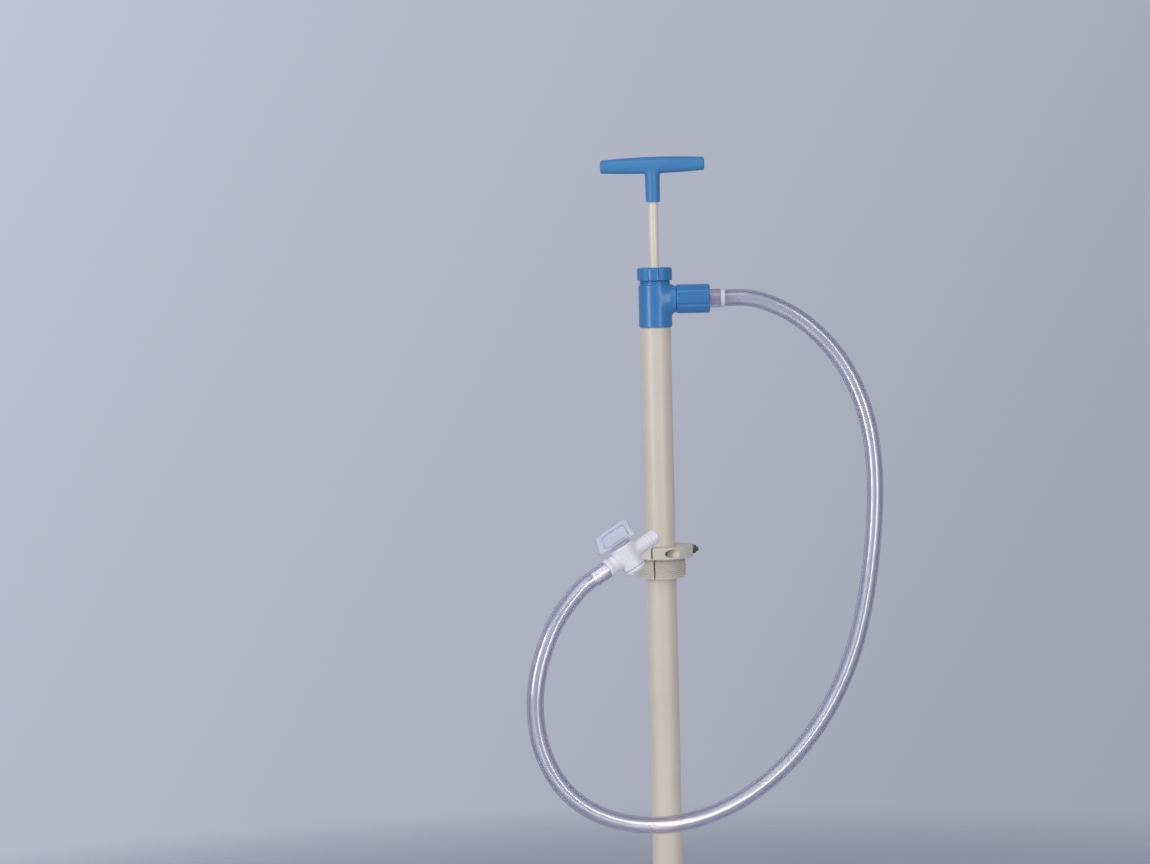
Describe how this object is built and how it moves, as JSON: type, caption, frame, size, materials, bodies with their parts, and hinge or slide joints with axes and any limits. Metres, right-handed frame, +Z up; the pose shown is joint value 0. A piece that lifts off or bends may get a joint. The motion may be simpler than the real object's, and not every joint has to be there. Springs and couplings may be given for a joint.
{
  "type": "drum barrel pump",
  "caption": "Hand-worked piston lift pump for drums: immersion tube, T-handle, threaded bung adapter, clear discharge hose with stopcock.",
  "frame": {"origin": "centre of the bung adapter flange's underside, on the pump's axis, where the flange sits on the drum's bung neck", "axes": "+Z up along the pump tube and piston rod, +X towards the side the outlet branch points to"},
  "size_m": [0.4271, 0.2669, 1.1679],
  "materials": {
    "adapter_plastic": "moulded, satin",
    "tube_plastic": "extruded, satin",
    "rod_plastic": "extruded, satin",
    "blue_gloss": "moulded, glossy",
    "blue_satin": "moulded, satin",
    "screw_steel": "plain steel",
    "white_plastic": "moulded, satin",
    "natural_plastic": "moulded, slightly translucent",
    "key_plastic": "moulded, translucent",
    "clear_hose": "clear flexible PVC",
    "seal_rubber": "moulded",
    "valve_ball": "polished stainless ball"
  },
  "bodies": {
    "adapter": {"adapter_half_left": "adapter_plastic", "adapter_half_right": "adapter_plastic", "clamp_screw_front": "screw_steel", "clamp_screw_rear": "screw_steel", "clamp_nut_front": "screw_steel", "clamp_nut_rear": "screw_steel"},
    "pump": {"pump_tube": "tube_plastic", "pump_head": "blue_gloss", "cap_nut": "blue_gloss", "tube_seal": "seal_rubber", "rod_seal": "seal_rubber", "rod_guide": "white_plastic", "outlet_union_nut": "blue_gloss", "outlet_gasket": "seal_rubber", "outlet_clamp_ring": "white_plastic", "outlet_stub": "clear_hose", "hose_connector": "white_plastic", "discharge_hose": "clear_hose", "stopcock_body": "natural_plastic", "foot_valve_body": "tube_plastic", "foot_valve_cage": "white_plastic"},
    "piston_ring": {"piston_seal": "seal_rubber"},
    "rod": {"handle": "blue_satin", "piston_rod": "rod_plastic", "piston_cage": "white_plastic", "piston_seat": "white_plastic"},
    "piston_ball": {"piston_ball": "valve_ball"},
    "foot_ball": {"foot_valve_ball": "valve_ball"},
    "stopcock_key": {"stopcock_plug": "key_plastic", "stopcock_end_cap": "natural_plastic"}
  },
  "joints": [
    {"name": "depth_slide", "type": "slide", "parent": "adapter", "child": "pump", "axis": [0, 0, 1], "range_m": [-0.24, 0.35]},
    {"name": "piston_slide", "type": "slide", "parent": "pump", "child": "piston_ring", "axis": [0, 0, 1], "range_m": [-0.077, 0.343]},
    {"name": "rod_turn", "type": "hinge", "parent": "piston_ring", "child": "rod", "pos_m": [0, 0, 0], "axis": [0, 0, 1], "continuous": true},
    {"name": "piston_ball_lift", "type": "slide", "parent": "rod", "child": "piston_ball", "axis": [0, 0, 1], "range_m": [0, 0.0095]},
    {"name": "foot_ball_lift", "type": "slide", "parent": "pump", "child": "foot_ball", "axis": [0, 0, 1], "range_m": [0, 0.0055]},
    {"name": "stopcock_turn", "type": "hinge", "parent": "pump", "child": "stopcock_key", "pos_m": [-0.0435, -0.172, 0.0203], "axis": [-0.522, 0, 0.853], "continuous": true}
  ]
}
